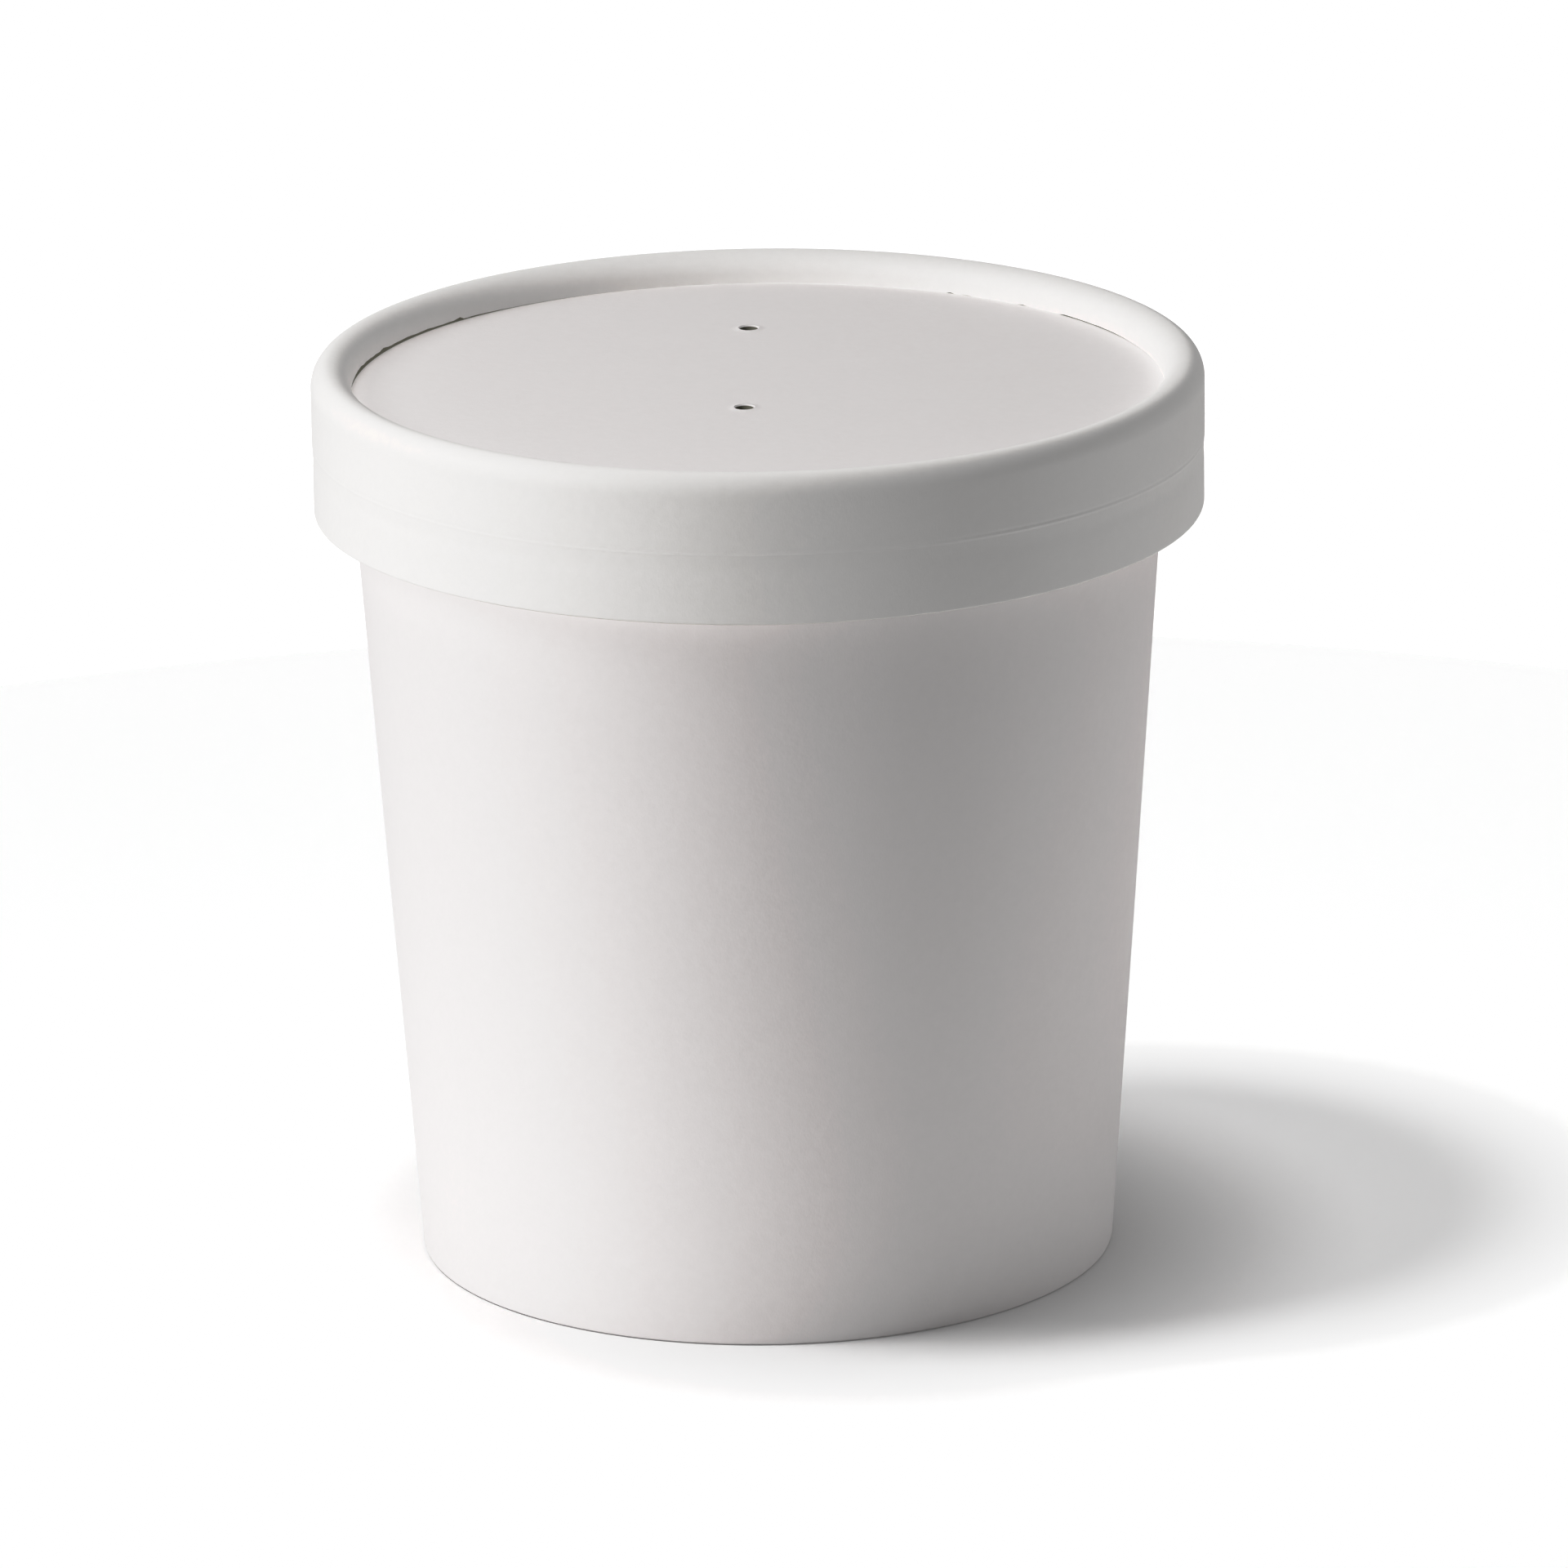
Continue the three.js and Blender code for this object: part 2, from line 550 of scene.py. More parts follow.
@dataclass
class PaperStock:
    """Every paper of the container, made once and shared by the pieces."""

    finishes: dict[Paper, bpy.types.Material] = field(default_factory=dict)

    def build(self) -> None:
        """Make all the materials."""
        recipes = (
            PaperFinish(Paper.CUP, (0.823, 0.798, 0.794), mottle=0.015),
            PaperFinish(Paper.BASE, (0.830, 0.805, 0.790), mottle=0.04),
            PaperFinish(Paper.LID, (0.870, 0.857, 0.845), mottle=0.015, roughness=0.7),
            PaperFinish(Paper.DISC, (0.832, 0.808, 0.803), mottle=0.012, roughness=0.72),
            PaperFinish(Paper.CUT_EDGE, (0.630, 0.600, 0.550), mottle=0.09, roughness=0.9,
                        fibre_height=0.03 * MM, felt_height=0.05 * MM),
            # Painted shade: dark paper where the ring's hollow, the disc under the lip and the vents lie
            # in shade
            PaperFinish(Paper.HOLLOW, (0.190, 0.184, 0.142), mottle=0.04, roughness=0.9),
            PaperFinish(Paper.INSIDE, (0.700, 0.690, 0.620), mottle=0.02, roughness=0.45,
                        fibre_height=0.004 * MM, felt_height=0.01 * MM),
        )
        for recipe in recipes:
            self.finishes[recipe.paper] = recipe.build()

    def __getitem__(self, paper: Paper) -> bpy.types.Material:
        """Give the material of a paper."""
        return self.finishes[paper]


# Cup


@dataclass
class PaperCup:
    """The tapered cup: wall with rolled rim, folded foot and base disc."""

    sizes: ContainerSizes
    papers: PaperStock
    roll_radius: float = 1.5 * MM
    foot_rounding: float = 0.35 * MM
    headspace: float = 14 * MM
    wall_rows: int = 90
    wall_wobble: float = 0.06 * MM
    stiff_above_foot: float = 12 * MM
    stiff_below_lid: float = 8 * MM
    lap: LapSeam = LapSeam(azimuth=radians(60), rise=0.4 * MM)
    lap_under_lid: float = 2 * MM
    knurl_count: int = 96
    knurl_depth: float = 0.07 * MM
    knurl_start: tuple[float, float] = (1.0 * MM, 1.8 * MM)
    knurl_stop: tuple[float, float] = (6.2 * MM, 5.4 * MM)
    fold_height: float = 7 * MM
    fold_thickness: float = 0.36 * MM
    fold_bottom: float = 0.14 * MM
    fold_rounding: float = 0.16 * MM
    base_dome: float = 0.3 * MM
    base_crease_inset: float = 2.2 * MM
    base_crease_depth: float = 0.12 * MM
    base_crease_half: float = 0.5 * MM

    def build(self) -> None:
        """Make the wall, the foot's fold and the base disc."""
        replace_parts(self.wall(), "cup_body")
        self.foot_fold()
        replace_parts(self.base_disc(), "cup_base")

    def wall_outline(self) -> Outline:
        """Draw the section of the wall, filled up to the headspace under the lid.

        Returns:
            The outline, from the middle of its underside round to the middle of its top.
        """
        s = self.sizes
        foot_inner = s.foot_radius - s.foot_thickness + s.board
        corner = self.foot_rounding
        roll_height = s.rim_top - self.roll_radius
        roll_middle = s.rim_radius - self.roll_radius
        inner_wall = roll_middle - self.roll_radius + s.board
        fill = s.rim_top - self.headspace
        outline = Outline()
        outline.to(0.0, s.base_top + s.gap).to(foot_inner, s.base_top + s.gap)
        outline.to(foot_inner, corner, 8)
        outline.arc((foot_inner + corner, corner), (corner, corner), (180, 270), 3)
        outline.arc((s.wall_radius(corner) - corner, corner), (corner, corner), (270, 360), 5)
        outline.to(s.wall_radius(s.skirt_bottom), s.skirt_bottom, self.wall_rows)
        outline.to(s.wall_radius(roll_height - self.roll_radius), roll_height - self.roll_radius, 6)
        outline.arc((roll_middle, roll_height), (self.roll_radius, self.roll_radius), (-120, 180), 22)
        outline.to(inner_wall, roll_height - self.roll_radius)
        outline.to(inner_wall - self.headspace * math.tan(s.taper), fill, 4)
        outline.to(0.0, fill)
        return outline

    def wall(self) -> bpy.types.Object:
        """Make the wall with its lap seam.

        Returns:
            The piece.
        """
        s = self.sizes
        mesh = bmesh.new()
        self.wall_outline().turn_into(mesh, COLUMNS)
        weld(mesh)

        def rule(azimuth: float, radius: float, height: float) -> CylinderPoint:
            """Lift the lap, and let the wall waver a little between the foot and the lid."""
            if radius < s.wall_radius(height) - s.gap or height > s.skirt_bottom + self.lap_under_lid:
                return azimuth, radius, height
            free = ramp(height, 0.0, self.stiff_above_foot)
            free *= ramp(height, s.skirt_bottom, s.skirt_bottom - self.stiff_below_lid)
            waver = unevenness(azimuth, waves=1.6, seed=3.1, height=height, rows_per_metre=22)
            radius += self.wall_wobble * free * waver
            azimuth, radius = self.lap.raise_face(azimuth, radius)
            return azimuth, radius, height

        shape_radially(mesh, rule)
        for face in mesh.faces:
            middle = face.calc_center_median()
            face.material_index = int(middle.z > s.rim_top - self.headspace - MM
                                      and middle.xy.length < s.wall_radius(middle.z) - s.board)
        piece = make_piece("cup_wall", mesh, (self.papers[Paper.CUP], self.papers[Paper.INSIDE]))
        return piece

    def foot_fold(self) -> bpy.types.Object:
        """Make the ply that is folded up inside the foot, knurled where it is pressed on the base.

        Returns:
            The piece.
        """
        s = self.sizes
        inner = s.foot_radius - s.foot_thickness
        outer = inner + self.fold_thickness
        bottom = self.fold_bottom
        rounding = self.fold_rounding
        mesh = bmesh.new()
        outline = Outline()
        outline.arc((inner + rounding, bottom + rounding), (rounding, rounding), (180, 270), 3)
        outline.arc((outer - rounding, bottom + rounding), (rounding, rounding), (270, 360), 3)
        outline.to(outer, self.fold_height, 4)
        outline.to(inner, self.fold_height)
        outline.to(inner, bottom + 2 * rounding, 18)
        outline.turn_into(mesh, 2 * COLUMNS, closed=True)
        weld(mesh)

        def rule(azimuth: float, radius: float, height: float) -> CylinderPoint:
            """Press the knurls into the inner face."""
            if radius < inner + SAME_POINT:
                pressed = ramp(height, *self.knurl_start) * ramp(height, *self.knurl_stop)
                radius += self.knurl_depth * pressed * (0.5 + 0.5 * math.sin(self.knurl_count * azimuth))
            return azimuth, radius, height

        shape_radially(mesh, rule)
        for face in mesh.faces:
            face.material_index = int(face.calc_center_median().z > self.fold_height - SAME_POINT)
        piece = make_piece("foot_fold", mesh, (self.papers[Paper.CUP], self.papers[Paper.CUT_EDGE]))
        return piece

    def base_disc(self) -> bpy.types.Object:
        """Make the base disc, domed a little and creased near its edge.

        Returns:
            The piece.
        """
        s = self.sizes
        mesh = bmesh.new()
        outline = Outline()
        outline.to(0.0, s.base_bottom).to(s.base_radius, s.base_bottom, 40)
        outline.to(s.base_radius, s.base_top).to(0.0, s.base_top, 8)
        outline.turn_into(mesh, COLUMNS // 2)
        weld(mesh)
        crease = s.base_radius - self.base_crease_inset

        def rule(azimuth: float, radius: float, height: float) -> CylinderPoint:
            """Dome the underside and press the crease."""
            if height < s.base_bottom + SAME_POINT:
                height += self.base_dome * ramp(radius, crease, 0.0)
                height += self.base_crease_depth * bell(radius, crease, self.base_crease_half)
            return azimuth, radius, height

        shape_radially(mesh, rule)
        piece = make_piece("base_disc", mesh, (self.papers[Paper.BASE],))
        return piece


# Lid


@dataclass(frozen=True)
class Nick:
    """A tiny notch in the cut edge of the ring's lip."""

    azimuth: float
    width: float
    height: float


@dataclass(frozen=True)
class Lip:
    """The cut edge of the ring's lip: how far it stands off the disc, and its nicks.

    It stands off widely on the left and by a hair on the right, and is shut at the back.
    """

    left_gap: float = 0.50 * MM
    left_azimuth: float = radians(165)
    left_reach: float = radians(30)
    right_gap: float = 0.12 * MM
    right_start: tuple[float, float] = (radians(4), radians(34))
    right_stop: tuple[float, float] = (radians(41), radians(40))
    fray: float = 0.35
    nicks: tuple[Nick, ...] = (
        Nick(radians(158.4), radians(1.0), 0.12 * MM),
        Nick(radians(138.2), radians(0.6), 0.30 * MM),
        Nick(radians(60.6), radians(0.4), 0.14 * MM),
        Nick(radians(58.1), radians(0.4), 0.12 * MM),
        Nick(radians(48.1), radians(0.8), 0.10 * MM),
    )

    def lift(self, azimuth: float) -> float:
        """Give how far the lip's edge is lifted off the disc.

        Args:
            azimuth: Place round the lid.

        Returns:
            The lift in metres, with the nicks.
        """
        left = bell(angle_between(azimuth, self.left_azimuth), 0.0, self.left_reach)
        right = ramp(azimuth, *self.right_stop) * ramp(azimuth, *self.right_start)
        frayed = 1 + self.fray * unevenness(azimuth, waves=30, seed=8.4)
        lift = (self.left_gap * left + self.right_gap * right) * frayed
        for nick in self.nicks:
            lift += nick.height * bell(angle_between(azimuth, nick.azimuth), 0.0, nick.width)
        return lift


class BandFace(Enum):
    """What a face of the band shows; the value is its material's number."""

    OUTSIDE = 0
    CUT_EDGE = 1
    # The hollow's inside under the ring is painted dark, as painted shade
    HOLLOW = 2


@dataclass
class PaperLid:
    """The lid: a band rolled over into a ring, and the sunken disc under the ring's lip."""

    sizes: ContainerSizes
    papers: PaperStock
    ring_width: float = 4.6 * MM
    crest_inset: float = 2.0 * MM
    ring_rounding: float = 2.5 * MM
    skirt_inset: float = 0.08 * MM
    lid_shift: Vector = Vector((0.15 * MM, 0.0, 0.0))
    skirt_thickness: float = 0.8 * MM
    edge_rounding: float = 0.25 * MM
    cut_edge_height: float = 0.0625 * MM
    crease_below_top: float = 8.7 * MM
    crease_depth: float = 0.02 * MM
    crease_half: float = 0.16 * MM
    ledge_drop: float = 0.30 * MM
    ledge_proud: float = 0.05 * MM
    hollow_below_crease: float = 2.0 * MM
    hollow_depth: float = 0.07 * MM
    hollow_half: float = 1.0 * MM
    hollow_fray: float = 0.5
    crease_azimuth: float = radians(-62)
    crease_reach: float = radians(42)
    crease_least: float = 0.35
    crease_fray: float = 0.4
    edge_waver: float = 0.08 * MM
    skirt_waver: float = 0.05 * MM
    lap: LapSeam = LapSeam(azimuth=radians(120), rise=0.35 * MM, columns=RING_COLUMNS)
    vent_radius: float = 1.05 * MM
    vent_spacing: float = 34.8 * MM
    vent_middle: tuple[float, float] = (-1.25 * MM, 8.5 * MM)
    vent_lean: float = radians(1)
    vent_columns: int = 40
    vent_foot: float = 1.3
    burr_height: float = 0.11 * MM
    # Each point is a share of the vent's radius and a share of the burr's height
    burr_profile: tuple[tuple[float, float], ...] = (
        (2.1, 0.0), (1.7, 0.0), (1.35, 0.7), (1.15, 1.0), (1.0, -0.4),
    )
    lip: Lip = Lip()
    disc_border: float = 3 * MM
    disc_dip: float = 0.08 * MM
    disc_dip_azimuth: float = radians(178)
    disc_dip_reach: float = radians(16)
    disc_dip_width: float = 2.2 * MM

    def build(self) -> None:
        """Make the band and the disc."""
        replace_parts(self.band(), "lid_band")
        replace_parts(self.disc(), "lid_disc")

    @property
    def lip_radius(self) -> float:
        """Radius of the ring's inner wall, where it meets the disc."""
        return self.sizes.lid_radius - self.ring_width

    @property
    def skirt_radius(self) -> float:
        """Radius of the lower half of the skirt."""
        return self.sizes.lid_radius - self.skirt_inset

    @property
    def crease_height(self) -> float:
        """Height of the crease that the cup's rim pressed round the skirt."""
        return self.sizes.top - self.crease_below_top

    @property
    def ring_start(self) -> float:
        """Height where the skirt ends and the ring's rounding starts."""
        return self.sizes.top - self.ring_rounding

    @property
    def skirt_inner(self) -> float:
        """Radius of the skirt's inner face."""
        return self.skirt_radius - self.skirt_thickness

    def band_outline(self) -> Outline:
        """Draw the section of the band: skirt, ring and the hollow under the ring.

        Returns:
            A closed outline, from the skirt's inner lower edge outwards and up.
        """
        s = self.sizes
        skirt_inner = self.skirt_inner
        corner = self.edge_rounding
        ring_start = self.ring_start
        crest = s.lid_radius - self.crest_inset
        outline = Outline()
        outline.to(skirt_inner, s.skirt_bottom)
        outline.arc((self.skirt_radius - corner, s.skirt_bottom + corner), (corner, corner),
                    (270, 360), 4)
        outline.to(self.skirt_radius, self.crease_height - 2 * self.hollow_below_crease, 16)
        outline.to(s.lid_radius - self.skirt_inset / 2, self.crease_height - 2 * self.ledge_drop, 24)
        outline.to(s.lid_radius, self.crease_height + 2 * self.crease_half, 20)
        outline.to(s.lid_radius, ring_start, 20)
        outline.arc((crest, ring_start), (self.crest_inset, self.ring_rounding), (4, 90), 20)
        inner_half = self.ring_width - self.crest_inset
        outline.arc((crest, ring_start), (inner_half, self.ring_rounding), (94, 180), 20)
        outline.to(self.lip_radius, s.disc_top, 4)
        outline.to(self.lip_radius + s.board, s.disc_top)
        outline.to(self.lip_radius + s.board, ring_start, 3)
        outline.to(skirt_inner - s.board, ring_start, 3)
        outline.to(skirt_inner, s.disc_top, 3)
        outline.to(skirt_inner, s.skirt_bottom + corner, 12)
        return outline

    def band(self) -> bpy.types.Object:
        """Make the band with its crease, its lap seam and the nicks of its lip.

        Returns:
            The piece.
        """
        s = self.sizes
        mesh = bmesh.new()
        self.band_outline().turn_into(mesh, RING_COLUMNS, closed=True)
        weld(mesh)
        middle_radius = self.skirt_radius - self.skirt_thickness / 2
        ring_start = self.ring_start

        def rule(azimuth: float, radius: float, height: float) -> CylinderPoint:
            """Press the crease, waver the skirt, lift the lap and fray the lip."""
            if radius > middle_radius and height < ring_start + MM:
                radius += self.skirt_relief(azimuth, height)
                azimuth, raised = self.lap.raise_face(azimuth, radius)
                radius += (raised - radius) * ramp(height, ring_start, self.crease_height)
            if height < s.skirt_bottom + MM:
                height += self.edge_waver * unevenness(azimuth, waves=2.5, seed=5.7)
            if radius < self.lip_radius + s.board + SAME_POINT and height < ring_start:
                height += self.lip.lift(azimuth) * ramp(height, ring_start, s.disc_top)
            return azimuth, radius, height

        shape_radially(mesh, rule)
        for face in mesh.faces:
            face.material_index = self.band_face(face).value
        bmesh.ops.translate(mesh, vec=self.lid_shift, verts=mesh.verts)
        papers = (self.papers[Paper.LID], self.papers[Paper.CUT_EDGE], self.papers[Paper.HOLLOW])
        piece = make_piece("lid_ring", mesh, papers)
        return piece

    def band_face(self, face: bmesh.types.BMFace) -> BandFace:
        """Say what a face of the band shows.

        Args:
            face: The face, before the lid is set over.

        Returns:
            The hollow's inside, painted dark as shade, a cut edge or the plain outside.
        """
        s = self.sizes
        middle = face.calc_center_median()
        lip_back = self.lip_radius + s.board - FACE_MARGIN
        behind_lip = lip_back < middle.xy.length < self.skirt_inner + FACE_MARGIN
        # Faces in the hollow behind the lip are painted dark, as painted shade
        if behind_lip and s.disc_top - MM < middle.z < self.ring_start + FACE_MARGIN:
            return BandFace.HOLLOW
        at_skirt_edge = middle.z < s.skirt_bottom + self.cut_edge_height
        at_lip = middle.xy.length < lip_back and face.normal.z < FACES_DOWN
        return BandFace.CUT_EDGE if at_skirt_edge or at_lip else BandFace.OUTSIDE

    def skirt_relief(self, azimuth: float, height: float) -> float:
        """Give how far a point of the skirt's outer face stands off its plain outline.

        Args:
            azimuth: Place round the lid.
            height: Height of the point.

        Returns:
            An offset in metres, mostly inwards.
        """
        above = height - self.crease_height
        side = bell(angle_between(azimuth, self.crease_azimuth), 0.0, self.crease_reach)
        pressed = self.crease_least + (1 - self.crease_least) * side
        pressed *= 1 + self.crease_fray * unevenness(azimuth, waves=6, seed=1.3)
        crease = bell(above, 0.0, self.crease_half) * self.crease_depth * pressed
        ledge = bell(above, -self.ledge_drop, self.crease_half) * self.ledge_proud * pressed
        uneven = 1 + self.hollow_fray * unevenness(azimuth, waves=1.7, seed=6.9)
        hollow = bell(above, -self.hollow_below_crease, self.hollow_half) * self.hollow_depth * uneven
        free = ramp(height, self.ring_start, self.crease_height)
        waver = unevenness(azimuth, waves=2.4, seed=9.2, height=height, rows_per_metre=60)
        return self.skirt_waver * free * waver + ledge - crease - hollow

    def vent_places(self) -> list[Vector]:
        """Give the middles of the two vents."""
        along = Vector((math.sin(self.vent_lean), math.cos(self.vent_lean), 0.0))
        middle = Vector((*self.vent_middle, 0.0))
        return [middle + along * reach for reach in (-self.vent_spacing / 2, self.vent_spacing / 2)]

    def vent_outline(self) -> Outline:
        """Draw the section of a punched vent: a low burr round a straight hole.

        Returns:
            An open outline from the disc's top, through the hole, to its underside.
        """
        s = self.sizes
        radius = self.vent_radius
        outline = Outline()
        for reach, rise in self.burr_profile:
            outline.to(radius * reach, s.disc_top + self.burr_height * rise)
        outline.to(radius, s.disc_bottom, 3)
        outline.to(radius * self.vent_foot, s.disc_bottom)
        return outline

    def disc(self) -> bpy.types.Object:
        """Make the disc with its two vents and the dip at its left edge.

        Returns:
            The piece.
        """
        s = self.sizes
        plain_radius = self.lip_radius - self.disc_border
        mesh = bmesh.new()
        rim = Outline()
        rim.to(plain_radius, s.disc_top).to(s.disc_radius, s.disc_top, 24)
        rim.to(s.disc_radius, s.disc_bottom).to(plain_radius, s.disc_bottom, 4)
        rim.turn_into(mesh, COLUMNS)
        for place in self.vent_places():
            self.vent_outline().turn_into(mesh, self.vent_columns, axis=place)
        bmesh.ops.remove_doubles(mesh, verts=mesh.verts, dist=SAME_POINT)
        for height in (s.disc_top, s.disc_bottom):
            rims = [edge for edge in mesh.edges if edge.is_boundary
                    and abs(edge.verts[0].co.z - height) < SAME_POINT]
            bmesh.ops.triangle_fill(mesh, use_beauty=True, use_dissolve=False, edges=rims,
                                    normal=(0, 0, 1))
        weld(mesh)

        def rule(azimuth: float, radius: float, height: float) -> CylinderPoint:
            """Bend the edge down on the left, and leave it flat elsewhere."""
            side = bell(angle_between(azimuth, self.disc_dip_azimuth), 0.0, self.disc_dip_reach)
            at_edge = ramp(radius, self.lip_radius - self.disc_dip_width, self.lip_radius)
            return azimuth, radius, height - self.disc_dip * side * at_edge

        shape_radially(mesh, rule)
        vents = self.vent_places()
        for face in mesh.faces:
            middle = face.calc_center_median()
            in_hole = any((middle.xy - vent.xy).length < self.vent_radius + FACE_MARGIN for vent in vents)
            under_lip = middle.xy.length > self.lip_radius + FACE_MARGIN
            # The vents' walls and the disc's margin under the lip are painted dark, as painted shade
            face.material_index = int(in_hole or under_lip)
        bmesh.ops.translate(mesh, vec=self.lid_shift, verts=mesh.verts)
        piece = make_piece("lid_disc_sheet", mesh, (self.papers[Paper.DISC], self.papers[Paper.HOLLOW]))
        return piece


# Studio


@dataclass(frozen=True)
class PhotoCamera:
    """A long lens, a little above the lid, as in the photograph."""

    distance: float = 1.5305
    elevation: float = radians(18.887)
    yaw: float = radians(0.100)
    pitch: float = radians(16.939)
    roll: float = radians(-0.783)
    lens: float = 301.74
    sensor: float = 36.0

    def build(self) -> bpy.types.Object:
        """Make the camera and choose it for the scene.

        Returns:
            The camera.
        """
        data = bpy.data.cameras.new("photo_camera")
        data.lens = self.lens
        data.sensor_width = self.sensor
        camera = bpy.data.objects.new("photo_camera", data)
        bpy.context.scene.collection.objects.link(camera)
        back = self.distance * math.cos(self.elevation)
        up = self.distance * math.sin(self.elevation)
        turn = Matrix.Rotation(-self.yaw, 4, "Z") @ Matrix.Rotation(radians(90) - self.pitch, 4, "X")
        roll = Matrix.Rotation(self.roll, 4, "Z")
        camera.matrix_world = Matrix.Translation((0.0, -back, up)) @ turn @ roll
        bpy.context.scene.camera = camera
        return camera


class Lit(Enum):
    """What a light falls on; the value says how its group is linked to the floor."""

    CONTAINER = "EXCLUDE"
    FLOOR = "INCLUDE"


@dataclass(frozen=True)
class StudioLight:
    """A light that faces the middle of the container.

    Its azimuth is counted from the front, to the right; left is negative.
    """

    name: str
    azimuth: float
    elevation: float
    power: float
    distance: float = field(default=1.2, kw_only=True)
    lit: ClassVar[Lit]

    def light_data(self) -> bpy.types.Light:
        """Make the light's own data."""
        raise NotImplementedError

    def build(self, aim: Vector) -> bpy.types.Object:
        """Make the light.

        Args:
            aim: The point that it faces.

        Returns:
            The light.
        """
        light = bpy.data.objects.new(self.name, self.light_data())
        light.data.energy = self.power
        bpy.context.scene.collection.objects.link(light)
        flat = math.cos(self.elevation)
        up = math.sin(self.elevation)
        way = Vector((flat * math.sin(self.azimuth), -flat * math.cos(self.azimuth), up))
        light.location = aim + way * self.distance
        light.rotation_euler = way.to_track_quat("Z", "Y").to_euler()
        return light


@dataclass(frozen=True)
class SoftBox(StudioLight):
    """A square soft light for the container; its power is in watts.

    One that passes the ring lays no shadow of it on the wall and the disc.
    """

    size: float
    passes_ring: bool = False
    lit: ClassVar[Lit] = Lit.CONTAINER

    def light_data(self) -> bpy.types.Light:
        """Make a square area light."""
        data = bpy.data.lights.new(self.name, "AREA")
        data.shape = "SQUARE"
        data.size = self.size
        return data


@dataclass(frozen=True)
class FloorWash(StudioLight):
    """A light for the floor alone, from a part of the ceiling; its power is in watts a square metre."""

    spread: float
    lit: ClassVar[Lit] = Lit.FLOOR

    def light_data(self) -> bpy.types.Light:
        """Make a sun with a disc as wide as the spread."""
        data = bpy.data.lights.new(self.name, "SUN")
        data.angle = self.spread
        return data


@dataclass(frozen=True)
class ToneCurve:
    """The picture's contrast: scene light against shown light, both linear."""

    COMBINED_CHANNEL: ClassVar[int] = 3
    points: tuple[tuple[float, float], ...] = (
        (0.0, 0.0), (0.08, 0.076), (0.16, 0.152), (0.24, 0.228), (0.32, 0.303), (0.36, 0.345),
        (0.40, 0.401), (0.45, 0.498), (0.50, 0.595), (0.55, 0.682), (0.60, 0.762), (0.65, 0.826),
        (0.70, 0.875), (0.745, 0.918), (0.775, 1.0), (1.0, 1.0),
    )

    def apply(self) -> None:
        """Set the curve on the scene's view."""
        view = bpy.context.scene.view_settings
        view.view_transform = "Standard"
        view.use_curve_mapping = True
        mapping = view.curve_mapping
        mapping.extend = "HORIZONTAL"
        curve = mapping.curves[self.COMBINED_CHANNEL]
        while len(curve.points) > 2:
            curve.points.remove(curve.points[1])
        curve.points[0].location = self.points[0]
        curve.points[1].location = self.points[-1]
        for place in self.points[1:-1]:
            curve.points.new(*place)
        for point in curve.points:
            point.handle_type = "VECTOR"
        mapping.update()


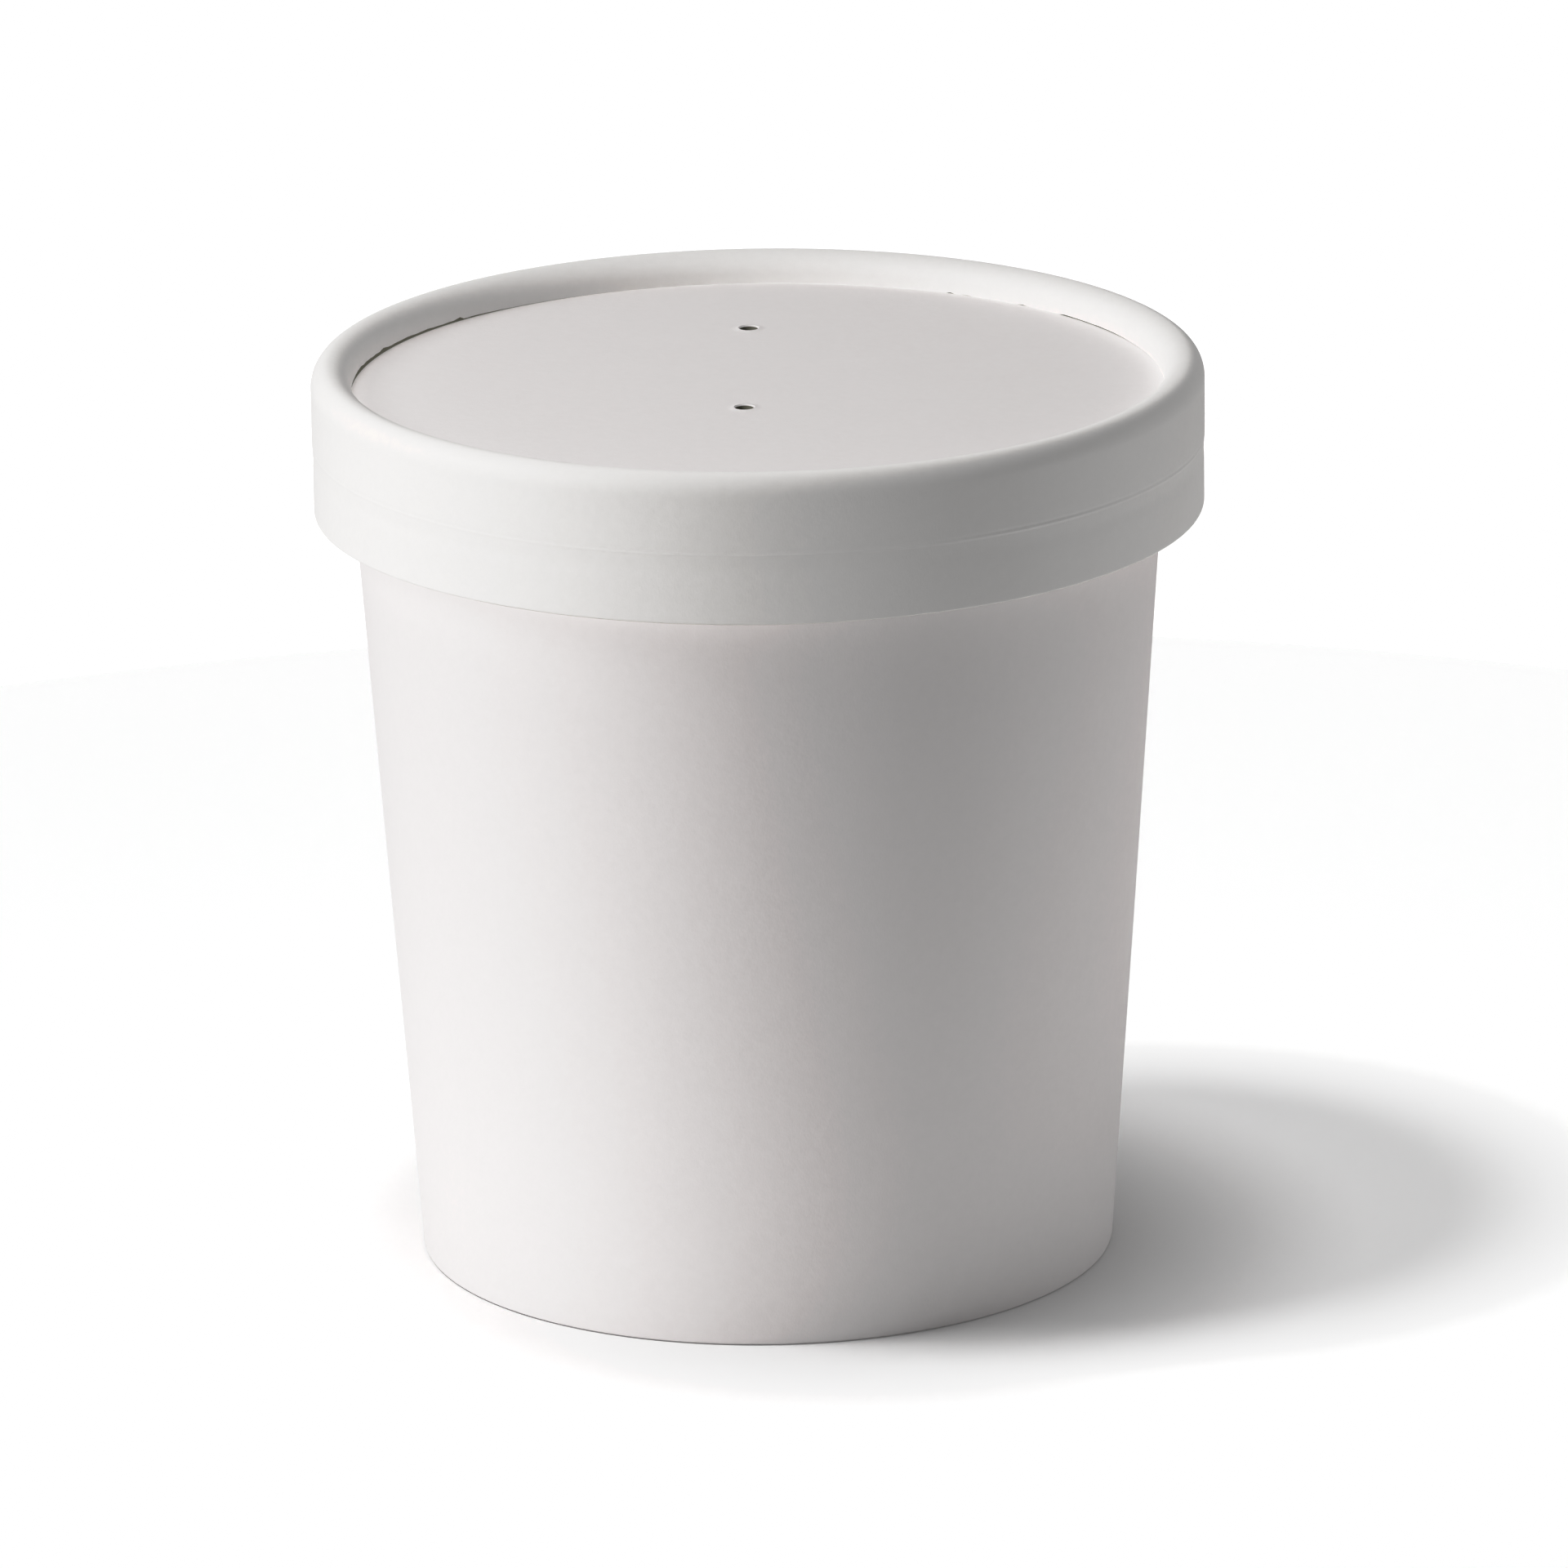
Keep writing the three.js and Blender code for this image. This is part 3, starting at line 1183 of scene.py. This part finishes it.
@dataclass
class Studio:
    """Plain pale floor, soft lights and the camera."""

    sizes: ContainerSizes
    floor_radius: float = 0.25
    floor_colour: tuple[float, float, float, float] = (0.95, 0.95, 0.95, 1.0)
    floor_roughness: float = 0.9
    ambient: float = 0.01
    # Name, azimuth, elevation and power, then the size of a soft box or the spread of a floor wash
    lights: tuple[StudioLight, ...] = (
        SoftBox("key_left", radians(-75), radians(35), 0.85, 0.29, distance=0.7),
        SoftBox("key_front", radians(-58), radians(32), 2.30, 0.175, distance=0.7, passes_ring=True),
        SoftBox("fill_right", radians(90), radians(5), 2.60, 1.0, passes_ring=True),
        SoftBox("fill_back", radians(105), radians(40), 2.25, 1.0, passes_ring=True),
        SoftBox("rim_back", radians(180), radians(30), 2.60, 1.0),
        SoftBox("top", radians(-70), radians(85), 1.80, 1.0),
        FloorWash("floor_key", radians(-76), radians(68), 1.10, radians(12)),
        FloorWash("floor_top", radians(-120), radians(88), 0.90, radians(18)),
        FloorWash("floor_wash", radians(-66), radians(80), 0.64, radians(160)),
    )

    def build(self) -> None:
        """Make the floor, the surroundings, the lights and the camera."""
        floor = self.floor()
        self.surroundings()
        groups = {lit: self.link_group("lit_" + lit.name.lower(), floor, lit.value) for lit in Lit}
        ringless = self.link_group("shade_without_ring", bpy.data.objects["lid_ring"], "EXCLUDE")
        aim = Vector((0.0, 0.0, self.sizes.top / 2))
        for recipe in self.lights:
            light = recipe.build(aim)
            light.light_linking.receiver_collection = groups[recipe.lit]
            if isinstance(recipe, SoftBox) and recipe.passes_ring:
                light.light_linking.blocker_collection = ringless
        PhotoCamera().build()
        ToneCurve().apply()

    def link_group(self, name: str, piece: bpy.types.Object, state: str) -> bpy.types.Collection:
        """Make a group that says whether lights meet one piece alone, or everything else.

        Args:
            name: The group's name.
            piece: The piece.
            state: INCLUDE for that piece alone, EXCLUDE for everything else.

        Returns:
            The group, to be set as what a light falls on or what shades it.
        """
        group = bpy.data.collections.new(name)
        group.objects.link(piece)
        group.collection_objects[0].light_linking.link_state = state
        return group

    def floor(self) -> bpy.types.Object:
        """Make the round floor; past its edge the camera sees the white surround.

        Returns:
            The floor, with its top at height 0.
        """
        mesh = bmesh.new()
        bmesh.ops.create_circle(mesh, cap_ends=True, segments=96, radius=self.floor_radius)
        data = bpy.data.meshes.new("floor")
        mesh.to_mesh(data)
        mesh.free()
        sheet = ShaderSheet("floor_paint")
        paint = sheet.finish({"Base Color": self.floor_colour, "Roughness": self.floor_roughness})
        data.materials.append(paint)
        floor = bpy.data.objects.new("floor", data)
        bpy.context.scene.collection.objects.link(floor)
        return floor

    def surroundings(self) -> None:
        """Make a white surround that adds almost no light of its own."""
        world = bpy.data.worlds.new("studio")
        world.use_nodes = True
        tree = world.node_tree
        dim = tree.nodes["Background"]
        dim.inputs["Color"].default_value = (1.0, 1.0, 1.0, 1.0)
        dim.inputs["Strength"].default_value = self.ambient
        white = tree.nodes.new("ShaderNodeBackground")
        white.inputs["Color"].default_value = (1.0, 1.0, 1.0, 1.0)
        seen = tree.nodes.new("ShaderNodeLightPath")
        mix = tree.nodes.new("ShaderNodeMixShader")
        tree.links.new(seen.outputs["Is Camera Ray"], mix.inputs["Fac"])
        tree.links.new(dim.outputs["Background"], mix.inputs[1])
        tree.links.new(white.outputs["Background"], mix.inputs[2])
        tree.links.new(mix.outputs["Shader"], tree.nodes["World Output"].inputs["Surface"])
        bpy.context.scene.world = world


def main() -> None:
    """Build the container piece by piece, then the studio."""
    logging.basicConfig(level=logging.INFO, format="%(name)s: %(message)s")
    sizes = ContainerSizes.from_frame()
    papers = PaperStock()
    papers.build()
    PaperCup(sizes, papers).build()
    PaperLid(sizes, papers).build()
    Studio(sizes).build()


if __name__ == "__main__":
    main()
